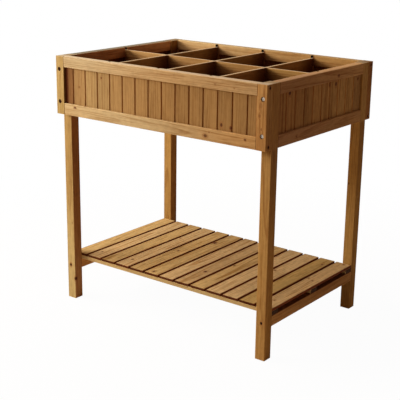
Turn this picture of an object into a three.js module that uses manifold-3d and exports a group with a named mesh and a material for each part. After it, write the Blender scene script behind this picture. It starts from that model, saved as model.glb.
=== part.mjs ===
// A raised wooden planter: a framed and boarded box on four legs, split into eight pockets by
// halved dividers, over a slatted shelf. Millimetres, Z up, front towards -Y, and the origin on
// the floor under the middle of the box.
import * as THREE from "three";
import { mergeVertices } from "three/addons/utils/BufferGeometryUtils.js";
import Module from "manifold-3d";

// Overall sizes.
const length = 790;
const depth = 590;
const height = 810;
const boxHeight = 181.5;

// Planed framing timber: all of it has one thickness, the bottom rails are a little deeper than
// the other rails and the stiles, and the legs are square.
const frameThick = 28.5;
const frameWide = 33;
const bottomWide = 36;
const frameArris = 2;
const legSide = 33;

// Clearance that every fitted or seated face keeps, and the overrun of a cut past a face.
const fit = 0.3;
const overrun = 5;

// Boards that fill the panels. Their edges and ends sit in grooves in the framing.
const infillThick = 12;
const infillRecess = 7;
const tongue = 6;
const longPitch = 50.4;
const endPitch = 47.2;
const longCentreShare = 0.5;
const endCentreShare = 0;
const narrowestShare = 0.4;
const jointWide = 5;
const jointDeep = 2.6;
const seamWide = 0.9;
const seamDeep = 1.8;

// Dividers.
const dividerThick = 9;
const dividerArris = 1.2;
const dividerDrop = 8;
const slotRoom = 0.8;
const crossCount = 3;

// Floor of the box.
const ledgerSide = 20;
const baseThick = 12;
const baseGap = 6;
const baseCount = 7;
const boardArris = 1.2;

// Shelf.
const shelfRailBottom = 99;
const shelfInset = 1;
const battenThick = 12;
const battenWide = 33;
const slatThick = 8;
const slatGap = 7.5;
const slatCount = 13;

// Corner bolts, and the counterbores that their heads lie in.
const boltShank = 6.5;
const boltLong = 40;
const boltHead = 11.2;
const boltHeadHigh = 3.2;
const boltRim = 1;
const boltSocket = 5;
const boltSocketDeep = 2.2;
const boltInset = 40;
const boltEndInset = 14.25;
const boltSunk = 3.8;
const boltHeadRoom = 0.8;

// Pockets for the screws at the ends of the stiles and of the shelf rails.
const screwPocket = 7;
const screwPocketDeep = 3;
const screwInset = 10;
const screwFaceInset = 13;

// Sides of a round bore or a turned bolt.
const roundSides = 24;

// Roundness of a planed corner.
const arrisSteps = 3;

// Places that follow from the sizes.
const boxBottom = height - boxHeight;
const innerLength = length - 2 * frameThick;
const innerDepth = depth - 2 * frameThick;
const legX = length / 2 - legSide / 2;
const legY = depth / 2 - frameThick - fit - legSide / 2;
const betweenLegs = length - 2 * legSide;
const endField = 2 * legY - legSide;
const endX = length / 2 - frameThick / 2;
const boltX = length / 2 - boltEndInset;
const boltHeadY = depth / 2 - boltSunk - boltHeadHigh;
const longY = depth / 2 - frameThick / 2;
const infillOut = frameThick / 2 - infillRecess - infillThick / 2;
const grooveWide = infillThick + 2 * fit;
const grooveDeep = tongue + fit;
const baseBottom = boxBottom + bottomWide - baseThick;
const dividerBottom = baseBottom + baseThick + fit;
const dividerTop = height - dividerDrop;
const dividerHigh = dividerTop - dividerBottom;
const housingDeep = frameThick - infillRecess - infillThick;
const dividerPast = housingDeep - fit;
const crossPitch = (innerLength + 2 * housingDeep + dividerThick) / (crossCount + 1);
const battenBottom = shelfRailBottom + frameWide + fit;
const slatBottom = battenBottom + battenThick + fit;

const wasm = await Module();
wasm.setup();

const pine = new THREE.MeshStandardMaterial({ color: 0xb98a55, roughness: 0.72, metalness: 0 });
const shadedPine = new THREE.MeshStandardMaterial({ color: 0x9a6a3c, roughness: 0.78, metalness: 0 });
const zinc = new THREE.MeshStandardMaterial({ color: 0xb4b6b8, roughness: 0.35, metalness: 1 });

// Turns a closed geometry into a solid that can be joined and cut.
function toSolid(geometry) {
  const bare = geometry.clone();
  bare.deleteAttribute("normal");
  bare.deleteAttribute("uv");
  const merged = mergeVertices(bare);
  return new wasm.Manifold(new wasm.Mesh({
    numProp: 3,
    vertProperties: merged.attributes.position.array,
    triVerts: new Uint32Array(merged.index.array),
  }));
}

// Turns a solid into a named mesh at a place.
function piece(name, solid, material, place) {
  const data = solid.getMesh();
  const geometry = new THREE.BufferGeometry();
  geometry.setAttribute("position", new THREE.BufferAttribute(data.vertProperties, 3));
  geometry.setIndex(new THREE.BufferAttribute(data.triVerts, 1));
  geometry.computeVertexNormals();
  const mesh = new THREE.Mesh(geometry, material);
  mesh.name = name;
  mesh.position.set(...place);
  return mesh;
}

// Bases that lay a section drawn in its own plane across the grain direction.
const x = new THREE.Vector3(1, 0, 0);
const y = new THREE.Vector3(0, 1, 0);
const z = new THREE.Vector3(0, 0, 1);
const grainBasis = {
  x: new THREE.Matrix4().makeBasis(y, z, x),
  y: new THREE.Matrix4().makeBasis(z, x, y),
  z: new THREE.Matrix4().makeBasis(x, y, z),
};

// Runs a section along the grain, centred on the origin.
function run(section, long, grain) {
  const geometry = new THREE.ExtrudeGeometry(section, {
    depth: long,
    bevelEnabled: false,
    curveSegments: arrisSteps,
  });
  geometry.translate(0, 0, -long / 2);
  geometry.applyMatrix4(grainBasis[grain]);
  return toSolid(geometry);
}

// A rectangle with planed corners, centred on its origin.
function planedSection(wide, high, arris) {
  const right = wide / 2;
  const top = high / 2;
  const section = new THREE.Shape();
  section.moveTo(arris - right, -top);
  section.lineTo(right - arris, -top);
  section.quadraticCurveTo(right, -top, right, arris - top);
  section.lineTo(right, top - arris);
  section.quadraticCurveTo(right, top, right - arris, top);
  section.lineTo(arris - right, top);
  section.quadraticCurveTo(-right, top, -right, top - arris);
  section.lineTo(-right, arris - top);
  section.quadraticCurveTo(-right, -top, arris - right, -top);
  return section;
}

// A planed bar of the given outside sizes whose grain runs along one axis.
function bar(sizeX, sizeY, sizeZ, grain, arris) {
  const across = { x: [sizeY, sizeZ, sizeX], y: [sizeZ, sizeX, sizeY], z: [sizeX, sizeY, sizeZ] };
  const [wide, high, long] = across[grain];
  return run(planedSection(wide, high, arris), long, grain);
}

// A plain block at a place, for tenons and for straight cuts.
function block(sizeX, sizeY, sizeZ, place) {
  const geometry = new THREE.BoxGeometry(sizeX, sizeY, sizeZ);
  geometry.translate(...place);
  return toSolid(geometry);
}

// A round bore along one axis, closed at its inner end. The mouth is the middle of its opening,
// and outward is the sign of the way out of it.
function bore(axis, outward, mouth, radius, deep) {
  const long = deep + overrun;
  const geometry = new THREE.CylinderGeometry(radius, radius, long, roundSides);
  if (axis === x) {
    geometry.rotateZ(Math.PI / 2);
  }
  const middle = new THREE.Vector3(...mouth).addScaledVector(axis, outward * (long / 2 - deep));
  geometry.translate(...middle.toArray());
  return toSolid(geometry);
}

// Heights of the two bolts at a corner, from the floor.
const boltHeights = { upper: height - boltInset, lower: boxBottom + boltInset };

// The section of a board infill: boards side by side, with a vee joint between neighbours on the
// outside and a narrow seam on the inside. The outside is towards -Y of the section.
function infillSection(field, pitch, centreShare) {
  const half = field / 2 + tongue;
  const face = infillThick / 2;
  const joints = [];
  const reach = field / 2 - pitch * narrowestShare;
  for (let at = pitch * centreShare; at < reach; at += pitch) {
    joints.push(at);
    if (at > 0) {
      joints.unshift(-at);
    }
  }
  const section = new THREE.Shape();
  section.moveTo(-half, -face);
  for (const at of joints) {
    section.lineTo(at - jointWide / 2, -face);
    section.lineTo(at - seamWide / 2, jointDeep - face);
    section.lineTo(at - seamWide / 2, jointDeep + seamDeep - face);
    section.lineTo(at + seamWide / 2, jointDeep + seamDeep - face);
    section.lineTo(at + seamWide / 2, jointDeep - face);
    section.lineTo(at + jointWide / 2, -face);
  }
  section.lineTo(half, -face);
  section.lineTo(half, face);
  for (const at of joints.reverse()) {
    section.lineTo(at + seamWide / 2, face);
    section.lineTo(at + seamWide / 2, face - seamDeep);
    section.lineTo(at - seamWide / 2, face - seamDeep);
    section.lineTo(at - seamWide / 2, face);
  }
  section.lineTo(-half, face);
  return section;
}

const infillHigh = boxHeight - frameWide - bottomWide + 2 * tongue;
const infillMiddle = boxBottom + boxHeight / 2 + (bottomWide - frameWide) / 2;
const stileMiddle = boxBottom + boxHeight / 2;
const longField = length - 2 * frameWide;
const railWides = { top: frameWide, bottom: bottomWide };
const railHeights = {
  top: height - frameWide / 2,
  bottom: boxBottom + bottomWide / 2,
};

// A rail of a long panel or an end panel, made along X with its outside towards -Y: a groove for
// the boards on the edge that faces them, a stub tenon at each end, and housings that let the
// ends of the dividers reach the boards.
function panelRail(shoulder, level, housings) {
  const inward = level === "top" ? -1 : 1;
  const wide = railWides[level];
  const grooveZ = inward * (wide / 2 - grooveDeep / 2 + overrun / 2);
  let rail = bar(shoulder, frameThick, wide, "x", frameArris);
  rail = rail.subtract(block(
    shoulder + overrun, grooveWide, grooveDeep + overrun, [0, -infillOut, grooveZ]));
  const tenonHigh = wide - grooveDeep;
  const tenonZ = -inward * (wide / 2 - tenonHigh / 2);
  rail = rail.add(block(
    shoulder + 2 * tongue, infillThick, tenonHigh, [0, -infillOut, tenonZ]));
  if (level === "top") {
    for (const at of housings) {
      rail = rail.subtract(block(
        dividerThick + 2 * fit, housingDeep + overrun, wide + overrun,
        [at, frameThick / 2 - housingDeep / 2 + overrun / 2, 0]));
    }
  }
  return rail;
}

const crossPlaces = Array.from(
  { length: crossCount }, (_, i) => (i - (crossCount - 1) / 2) * crossPitch);

const planter = new THREE.Group();

// Front and back panels. Each is built with its outside towards -Y, and the back one is turned
// half round, so that both are the same panel.
for (const [side, turn] of [["front", 0], ["back", Math.PI]]) {
  const panel = new THREE.Group();
  panel.rotation.z = turn;
  for (const level of ["top", "bottom"]) {
    const rail = panelRail(longField - 2 * fit, level, crossPlaces);
    panel.add(piece(`${side}_${level}_rail`, rail, pine, [0, -longY, railHeights[level]]));
  }
  const boards = run(infillSection(longField, longPitch, longCentreShare), infillHigh, "z");
  panel.add(piece(`${side}_boards`, boards, pine, [0, -longY - infillOut, infillMiddle]));
  for (const hand of [-1, 1]) {
    const name = hand * Math.cos(turn) < 0 ? "left" : "right";
    const stileX = hand * (length / 2 - frameWide / 2);
    const boltAt = hand * boltX - stileX;
    let stile = bar(frameWide, frameThick, boxHeight, "z", frameArris);
    stile = stile.subtract(block(
      grooveDeep + overrun, grooveWide, boxHeight + overrun,
      [-hand * (frameWide / 2 - grooveDeep / 2 + overrun / 2), -infillOut, 0]));
    for (const boltZ of Object.values(boltHeights)) {
      const mouth = [boltAt, -frameThick / 2, boltZ - stileMiddle];
      stile = stile.subtract(bore(y, -1, mouth, boltShank / 2 + fit, frameThick + overrun));
      stile = stile.subtract(bore(
        y, -1, mouth, boltHead / 2 + boltHeadRoom, boltSunk + boltHeadHigh + fit));
    }
    for (const end of [-1, 1]) {
      const mouth = [
        hand * frameWide / 2, screwFaceInset - frameThick / 2, end * (boxHeight / 2 - screwInset)];
      stile = stile.subtract(bore(x, hand, mouth, screwPocket / 2, screwPocketDeep));
    }
    panel.add(piece(`${side}_stile_${name}`, stile, pine, [stileX, -longY, stileMiddle]));
  }
  planter.add(panel);
}

// End panels, made like the long ones and turned a quarter round. Their rails and boards run
// between the legs.
for (const [side, turn] of [["left", -Math.PI / 2], ["right", Math.PI / 2]]) {
  const panel = new THREE.Group();
  panel.rotation.z = turn;
  for (const level of ["top", "bottom"]) {
    const rail = panelRail(endField - 2 * fit, level, [0]);
    panel.add(piece(`${side}_${level}_rail`, rail, pine, [0, -endX, railHeights[level]]));
  }
  const boards = run(infillSection(endField, endPitch, endCentreShare), infillHigh, "z");
  panel.add(piece(`${side}_boards`, boards, pine, [0, -endX - infillOut, infillMiddle]));
  planter.add(panel);
}

// Legs behind the long panels. Each is grooved towards the other leg of its end, for the boards
// and tenons of the end panel, bored for the two bolts of its corner, and has a pocket for the
// screw that holds the shelf rail.
const boltInLeg = boltLong + boltSunk + boltHeadHigh - frameThick;
for (const [side, front] of [["front", -1], ["back", 1]]) {
  for (const [name, hand] of [["left", -1], ["right", 1]]) {
    const grooveHigh = boxHeight + fit + overrun;
    let leg = bar(legSide, legSide, height, "z", frameArris);
    leg = leg.subtract(block(
      grooveWide, grooveDeep + overrun, grooveHigh,
      [hand * (endX + infillOut - legX), -front * (legSide / 2 - grooveDeep / 2 + overrun / 2),
        height / 2 + overrun - grooveHigh / 2]));
    for (const boltZ of Object.values(boltHeights)) {
      const mouth = [hand * (boltX - legX), front * legSide / 2, boltZ - height / 2];
      leg = leg.subtract(bore(y, front, mouth, boltShank / 2 + fit, boltInLeg));
    }
    const mouth = [
      hand * (endX - legX), front * legSide / 2, shelfRailBottom + frameWide / 2 - height / 2];
    leg = leg.subtract(bore(y, front, mouth, screwPocket / 2, screwPocketDeep));
    planter.add(piece(`leg_${side}_${name}`, leg, pine,
      [hand * legX, front * legY, height / 2]));
  }
}

// One corner bolt: a low domed head and a plain shank, turned about Y, with a hexagon socket.
function cornerBolt() {
  const headRadius = boltHead / 2;
  const shankRadius = boltShank / 2;
  const profile = [
    new THREE.Vector2(0, boltHeadHigh),
    new THREE.Vector2(headRadius * Math.sin(Math.PI / 6), boltHeadHigh),
    new THREE.Vector2(headRadius * Math.sin(Math.PI / 3), (boltHeadHigh + boltRim) / 2),
    new THREE.Vector2(headRadius, boltRim),
    new THREE.Vector2(headRadius, 0),
    new THREE.Vector2(shankRadius, 0),
    new THREE.Vector2(shankRadius, shankRadius - boltLong),
    new THREE.Vector2(0, -boltLong),
  ];
  const body = toSolid(new THREE.LatheGeometry(profile.reverse(), roundSides));
  const socketRadius = boltSocket / 2 / Math.cos(Math.PI / 6);
  const socket = new THREE.CylinderGeometry(socketRadius, socketRadius, boltSocketDeep + overrun, 6);
  socket.translate(0, boltHeadHigh - boltSocketDeep / 2 + overrun / 2, 0);
  return body.subtract(toSolid(socket));
}

for (const [side, front] of [["front", -1], ["back", 1]]) {
  for (const [name, hand] of [["left", -1], ["right", 1]]) {
    for (const [level, boltZ] of Object.entries(boltHeights)) {
      const place = [hand * boltX, front * boltHeadY, boltZ];
      const bolt = piece(`bolt_${side}_${name}_${level}`, cornerBolt(), zinc, place);
      bolt.rotation.z = front < 0 ? Math.PI : 0;
      planter.add(bolt);
    }
  }
}

// Dividers. The long one is slotted from above and the cross ones from below, so that they halve
// over each other. Their ends drop into the housings of the top rails, and all pockets are alike.
const slotWide = dividerThick + 2 * slotRoom;
const slotHigh = dividerHigh / 2 + fit / 2;
const dividerMiddle = dividerBottom + dividerHigh / 2;
let longDivider = bar(
  innerLength + 2 * dividerPast, dividerThick, dividerHigh, "x", dividerArris);
for (const at of crossPlaces) {
  longDivider = longDivider.subtract(block(
    slotWide, slotWide, slotHigh + overrun,
    [at, 0, dividerHigh / 2 - slotHigh / 2 + overrun / 2]));
}
planter.add(piece("long_divider", longDivider, shadedPine, [0, 0, dividerMiddle]));
crossPlaces.forEach((at, i) => {
  let divider = bar(
    dividerThick, innerDepth + 2 * dividerPast, dividerHigh, "y", dividerArris);
  divider = divider.subtract(block(
    slotWide, slotWide, slotHigh + overrun,
    [0, 0, slotHigh / 2 - dividerHigh / 2 - overrun / 2]));
  planter.add(piece(`cross_divider_${i + 1}`, divider, shadedPine, [at, 0, dividerMiddle]));
});

// Floor of the box: boards from front to back on a ledger along each long panel.
for (const [side, front] of [["front", -1], ["back", 1]]) {
  const ledger = bar(betweenLegs - 2 * fit, ledgerSide, ledgerSide, "x", boardArris);
  planter.add(piece(`ledger_${side}`, ledger, shadedPine,
    [0, front * (innerDepth / 2 - fit - ledgerSide / 2), baseBottom - fit - ledgerSide / 2]));
}
const baseLength = betweenLegs - 2 * fit;
const baseWide = (baseLength - (baseCount - 1) * baseGap) / baseCount;
for (let i = 0; i < baseCount; i += 1) {
  const board = bar(baseWide, innerDepth - 2 * fit, baseThick, "y", boardArris);
  const at = (i - (baseCount - 1) / 2) * (baseWide + baseGap);
  planter.add(piece(`base_board_${i + 1}`, board, shadedPine,
    [at, 0, baseBottom + baseThick / 2]));
}

// Shelf: a rail between the legs at each end, three battens across the rails, and slats on top.
for (const [name, hand] of [["left", -1], ["right", 1]]) {
  const rail = bar(frameThick, endField - 2 * fit, frameWide, "y", frameArris);
  planter.add(piece(`shelf_rail_${name}`, rail, pine,
    [hand * endX, 0, shelfRailBottom + frameWide / 2]));
}
const shelfLength = length - 2 * shelfInset;
const battenReach = endField / 2 - fit - battenWide / 2;
["front", "middle", "back"].forEach((name, i) => {
  const batten = bar(shelfLength, battenWide, battenThick, "x", boardArris);
  planter.add(piece(`shelf_batten_${name}`, batten, pine,
    [0, (i - 1) * battenReach, battenBottom + battenThick / 2]));
});
const slatWide = (shelfLength - (slatCount - 1) * slatGap) / slatCount;
for (let i = 0; i < slatCount; i += 1) {
  const slat = bar(slatWide, endField - 2 * fit, slatThick, "y", boardArris);
  const at = (i - (slatCount - 1) / 2) * (slatWide + slatGap);
  planter.add(piece(`shelf_slat_${i + 1}`, slat, pine, [at, 0, slatBottom + slatThick / 2]));
}

export default planter;
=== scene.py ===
"""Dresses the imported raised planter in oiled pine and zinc, fits its fastenings, and lights it."""

import logging
import math
import random
from dataclasses import dataclass, field, replace
from enum import Enum
from typing import Any

import bmesh
import bpy
from mathutils import Matrix, Vector


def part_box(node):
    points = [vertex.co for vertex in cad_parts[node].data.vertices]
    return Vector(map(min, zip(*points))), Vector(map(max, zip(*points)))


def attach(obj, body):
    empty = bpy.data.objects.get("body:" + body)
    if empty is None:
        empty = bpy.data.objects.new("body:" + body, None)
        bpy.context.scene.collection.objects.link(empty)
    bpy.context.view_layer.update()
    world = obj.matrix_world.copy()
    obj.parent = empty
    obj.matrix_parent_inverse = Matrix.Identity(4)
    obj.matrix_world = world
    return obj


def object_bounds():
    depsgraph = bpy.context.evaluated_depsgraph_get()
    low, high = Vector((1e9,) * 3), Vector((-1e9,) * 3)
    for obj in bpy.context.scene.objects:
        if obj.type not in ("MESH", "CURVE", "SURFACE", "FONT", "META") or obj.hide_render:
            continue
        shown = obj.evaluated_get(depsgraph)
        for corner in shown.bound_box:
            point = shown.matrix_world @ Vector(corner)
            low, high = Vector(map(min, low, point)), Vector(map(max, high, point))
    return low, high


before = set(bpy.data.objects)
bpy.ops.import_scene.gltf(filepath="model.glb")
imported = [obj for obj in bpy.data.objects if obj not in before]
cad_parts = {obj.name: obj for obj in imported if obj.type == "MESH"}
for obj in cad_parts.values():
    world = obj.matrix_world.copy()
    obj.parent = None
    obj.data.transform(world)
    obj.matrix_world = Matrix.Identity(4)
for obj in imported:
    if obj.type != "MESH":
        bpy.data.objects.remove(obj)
CAD_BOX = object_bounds()

FULL_TURN = 2 * math.pi
LOG = logging.getLogger("planter")

Colour = tuple[float, float, float]
Point = tuple[float, float, float]
Outline = tuple[tuple[float, float], ...]

# Knots in one face: two coordinates along it, the radius and the darkness of each
Marks = tuple[tuple[float, float, float, float], ...]

CLEAR: Colour = (1.0, 1.0, 1.0)


class Axis(Enum):
    """The three directions of the shared frame."""

    X = 0
    Y = 1
    Z = 2


@dataclass(frozen=True)
class Shade:
    """The two colours of one stick of pine."""

    early: Colour
    late: Colour


class Tone(Enum):
    """The oiled pine colours found on the planter."""

    CREAM = Shade((0.66, 0.44, 0.200), (0.42, 0.22, 0.075))
    STRAW = Shade((0.61, 0.39, 0.150), (0.37, 0.19, 0.052))
    HONEY = Shade((0.58, 0.37, 0.160), (0.36, 0.18, 0.056))
    WHEAT = Shade((0.50, 0.31, 0.100), (0.31, 0.15, 0.036))
    AMBER = Shade((0.41, 0.230, 0.076), (0.24, 0.11, 0.028))
    TAN = Shade((0.45, 0.255, 0.076), (0.27, 0.12, 0.028))
    RUSSET = Shade((0.47, 0.225, 0.066), (0.28, 0.11, 0.026))
    COPPER = Shade((0.52, 0.275, 0.100), (0.32, 0.13, 0.036))


# Shader expressions


@dataclass(frozen=True)
class Wire:
    """One node socket that takes part in Python arithmetic."""

    bench: "Bench"
    socket: bpy.types.NodeSocket

    def twin(self, name: str | int) -> "Wire":
        """Another output of the same node, by its name or place."""
        return Wire(self.bench, self.socket.node.outputs[name])

    def __add__(self, other: "Value") -> "Wire":
        """self + other"""
        return self.bench.maths("ADD", self, other)

    __radd__ = __add__

    def __sub__(self, other: "Value") -> "Wire":
        """self - other"""
        return self.bench.maths("SUBTRACT", self, other)

    def __rsub__(self, other: "Value") -> "Wire":
        """other - self"""
        return self.bench.maths("SUBTRACT", other, self)

    def __mul__(self, other: "Value") -> "Wire":
        """self * other"""
        return self.bench.maths("MULTIPLY", self, other)

    __rmul__ = __mul__

    def __truediv__(self, other: "Value") -> "Wire":
        """self / other"""
        return self.bench.maths("DIVIDE", self, other)

    def __rtruediv__(self, other: "Value") -> "Wire":
        """other / self"""
        return self.bench.maths("DIVIDE", other, self)

    def __abs__(self) -> "Wire":
        """|self|"""
        return self.bench.maths("ABSOLUTE", self)


Value = Wire | float | int


class Bench:
    """A node tree under construction, with one method for each kind of step."""

    def __init__(self, owner: bpy.types.Material | bpy.types.World) -> None:
        """Turns on the owner's nodes and clears them.

        Args:
            owner: The material or the world.
        """
        owner.use_nodes = True
        self.tree = owner.node_tree
        self.tree.nodes.clear()

    def node(
        self,
        kind: str,
        settings: dict[str, Any] | None = None,
        inputs: dict[str | int, Any] | None = None,
    ) -> Wire | None:
        """Adds one node.

        Args:
            kind: The node's type.
            settings: The node's own properties, set before its sockets. "stops" is a colour ramp's.
            inputs: A value or a Wire for each socket, by name or place.

        Returns:
            The node's first output, or None where it has none.
        """
        made = self.tree.nodes.new(kind)
        for name, value in (settings or {}).items():
            if name == "stops":
                self._set_stops(made.color_ramp, value)
            else:
                setattr(made, name, value)
        for key, value in (inputs or {}).items():
            socket = made.inputs[key]
            if isinstance(value, Wire):
                self.tree.links.new(value.socket, socket)
            else:
                socket.default_value = (*value, 1.0) if socket.type == "RGBA" else value
        return Wire(self, made.outputs[0]) if made.outputs else None

    @staticmethod
    def _set_stops(ramp: bpy.types.ColorRamp, stops: list[tuple[float, float]]) -> None:
        """Gives a ramp its grey stops.

        Args:
            ramp: The ramp, which starts with two stops.
            stops: Position and grey value of each stop, in order.
        """
        while len(ramp.elements) < len(stops):
            ramp.elements.new(1.0)
        for element, (position, grey) in zip(ramp.elements, stops):
            element.position = position
            element.color = (grey, grey, grey, 1.0)

    def maths(self, operation: str, *values: Value) -> Wire:
        """A Math node's result from its values in order."""
        return self.node("ShaderNodeMath", {"operation": operation}, dict(enumerate(values)))

    def smooth(self, value: Value, low: float, high: float) -> Wire:
        """A soft step from 0 at low to 1 at high, whichever of the two is greater."""
        ends = {"Value": value, "From Min": low, "From Max": high}
        return self.node("ShaderNodeMapRange", {"interpolation_type": "SMOOTHSTEP"}, ends)

    def split(self, vector: Wire) -> tuple[Wire, Wire, Wire]:
        """The three parts of a vector or colour."""
        x = self.node("ShaderNodeSeparateXYZ", inputs={0: vector})
        return x, x.twin("Y"), x.twin("Z")

    def join(self, x: Value, y: Value, z: Value) -> Wire:
        """A vector from three values."""
        return self.node("ShaderNodeCombineXYZ", inputs={0: x, 1: y, 2: z})

    def noise(self, vector: Wire, detail: float = 2.0, roughness: float = 0.5) -> Wire:
        """Soft noise around 0.5, with one unit of the vector to each swell."""
        inputs = {"Vector": vector, "Scale": 1.0, "Detail": detail, "Roughness": roughness}
        return self.node("ShaderNodeTexNoise", inputs=inputs)

    def chance(self, value: Value) -> Wire:
        """A random colour for each whole step of a value."""
        settings = {"noise_dimensions": "1D"}
        return self.node("ShaderNodeTexWhiteNoise", settings, {"W": value}).twin("Color")

    def blend(self, factor: Value, first: Wire | Colour, second: Wire | Colour) -> Wire:
        """A mix of two colours: the first at a factor of 0, the second at 1."""
        settings = {"data_type": "RGBA", "clamp_factor": True}
        return self.node("ShaderNodeMix", settings, {0: factor, 6: first, 7: second}).twin(2)

    def scale(self, colour: Wire, factor: Value) -> Wire:
        """A colour made darker or lighter."""
        return self.node("ShaderNodeVectorMath", {"operation": "SCALE"}, {0: colour, 3: factor})

    def tint(self, colour: Wire, other: Wire | Colour) -> Wire:
        """A colour seen through another."""
        settings = {"operation": "MULTIPLY"}
        return self.node("ShaderNodeVectorMath", settings, {0: colour, 1: other})

    def glaze(self, colour: Wire, mask: Wire, other: Wire | Colour) -> Wire:
        """A colour seen through another, as far as a mask goes."""
        return self.blend(mask, colour, self.tint(colour, other))

    def place(self) -> tuple[Wire, Wire, Wire]:
        """The three coordinates of the shared frame, in metres."""
        return self.split(self.node("ShaderNodeTexCoord").twin("Object"))

    def surface(self, sockets: dict[str, Any], height: Wire, strength: float, deep: float) -> None:
        """Ends a material with its shader, over a fine relief.

        Args:
            sockets: The shader's values and wires.
            height: The relief's height, in parts of its depth.
            strength: How strongly the relief shows.
            deep: Its depth in metres.
        """
        relief = {"Strength": strength, "Distance": deep, "Height": height}
        normal = self.node("ShaderNodeBump", inputs=relief)
        shader = self.node("ShaderNodeBsdfPrincipled", inputs={**sockets, "Normal": normal})
        self.node("ShaderNodeOutputMaterial", inputs={"Surface": shader})


# Finishes


@dataclass(frozen=True)
class Knot:
    """A branch that grew through a piece of timber."""

    at: Point
    radius: float
    dark: float = 0.8
    through: Axis | None = None
    reach: float = 0.03


@dataclass(frozen=True)
class Drift:
    """How a colour drifts from one place to another along an axis: the timber's tone on some pieces,
    painted light falloff and painted shadow on others.
    """

    axis: Axis
    start: float
    end: float
    first: Colour
    last: Colour = CLEAR


@dataclass(frozen=True)
class Swell:
    """Soft noise drawn out along the grain, in swells to the metre."""

    along: float
    across: float
    detail: float = 2.0
    roughness: float = 0.5


@dataclass(frozen=True)
class Stock:
    """How one piece was cut from the log, what became of it, and the light and shade painted on it."""

    grain: Axis
    tone: Tone
    tint: Colour = CLEAR
    figure: float = 1.0
    # Colour drifts: the timber's tone, and on some pieces painted light falloff and painted shadow
    drifts: tuple[Drift, ...] = ()
    # Painted light and shade on the faces that look along X, drifting like the colour
    side_shading: tuple[Drift, ...] = ()
    # Painted top shading on faces that look up at the rim: a pale crown paints a highlight, a dark one a
    # darker top
    crown: Colour = (0.80, 0.63, 0.42)
    crown_share: float = 0.0
    # Paints shade on a slat's sides and along its long top edges, where the gaps between slats lie in
    # shadow
    painted_gap_shade: bool = False
    end_dark: float = 0.45
    knots: tuple[Knot, ...] = ()
    pitch: float = 0.0
    start: float = 0.0
    # Whether the pockets' painted shade and the painted top shading are laid on it
    box_shading: bool = False


class Stick:
    """One piece of timber under the brush: its nodes, its place in the log and its own chance."""

    def __init__(self, name: str, stock: Stock) -> None:
        """Starts the piece's material.

        Args:
            name: The CAD node.
            stock: How its timber was cut.
        """
        self.stock = stock
        self.low, self.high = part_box(name)
        self.dice = random.Random(name)
        self.material = bpy.data.materials.new(f"pine_{name}")
        self.bench = Bench(self.material)
        self.axes = self.bench.place()
        self.normal = self.bench.split(self.bench.node("ShaderNodeNewGeometry").twin("Normal"))
        self.thin, self.wide = sorted(
            (a for a in range(3) if a != stock.grain.value), key=lambda a: self.high[a] - self.low[a]
        )
        self._lay()

    def _lay(self) -> None:
        """Finds where a point lies in its own board, and draws the board's luck."""
        bench, stock, dice = self.bench, self.stock, self.dice
        centre, half = (self.low + self.high) / 2, (self.high - self.low) / 2
        along, wide, deep = (self.axes[a] for a in (stock.grain.value, self.wide, self.thin))
        self.luck: tuple[Value, Value, Value] = (dice.random(), dice.random(), dice.random())
        if stock.pitch:
            board = bench.maths("FLOOR", (wide - stock.start) / stock.pitch)
            self.local = wide - stock.start - (board + 0.5) * stock.pitch
            self.luck = bench.split(bench.chance(board + round(dice.uniform(3, 90), 2)))
            self.half_wide = stock.pitch / 2
        else:
            self.local = wide - centre[self.wide]
            self.half_wide = half[self.wide]
        self.hollow = deep - centre[self.thin]
        self.run = along + self.luck[2] * 7.0
        self.brink = self.half_wide - abs(self.local)

    def swell(self, swell: Swell) -> Wire:
        """Noise drawn out along this piece's grain.

        Args:
            swell: How long and how wide its swells are.

        Returns:
            The noise, around 0.5.
        """
        across = swell.across
        spot = self.bench.join(self.run * swell.along, self.local * across, self.hollow * across)
        return self.bench.noise(spot, swell.detail, swell.roughness)

    def drift(self, colour: Wire, drifts: tuple[Drift, ...]) -> Wire:
        """Tints a colour from place to place: timber tone, painted light falloff and painted shadow.

        Args:
            colour: The colour.
            drifts: The drifts, laid over one another.

        Returns:
            The new colour.
        """
        for drift in drifts:
            along = self.bench.smooth(self.axes[drift.axis.value], drift.start, drift.end)
            shift = self.bench.blend(along, drift.first, drift.last)
            colour = self.bench.tint(colour, shift)
        return colour

    def facing(self, axis: Axis) -> Wire:
        """1 on the faces that look along an axis, either way."""
        return self.bench.smooth(abs(self.normal[axis.value]), 0.6, 0.9)


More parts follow.
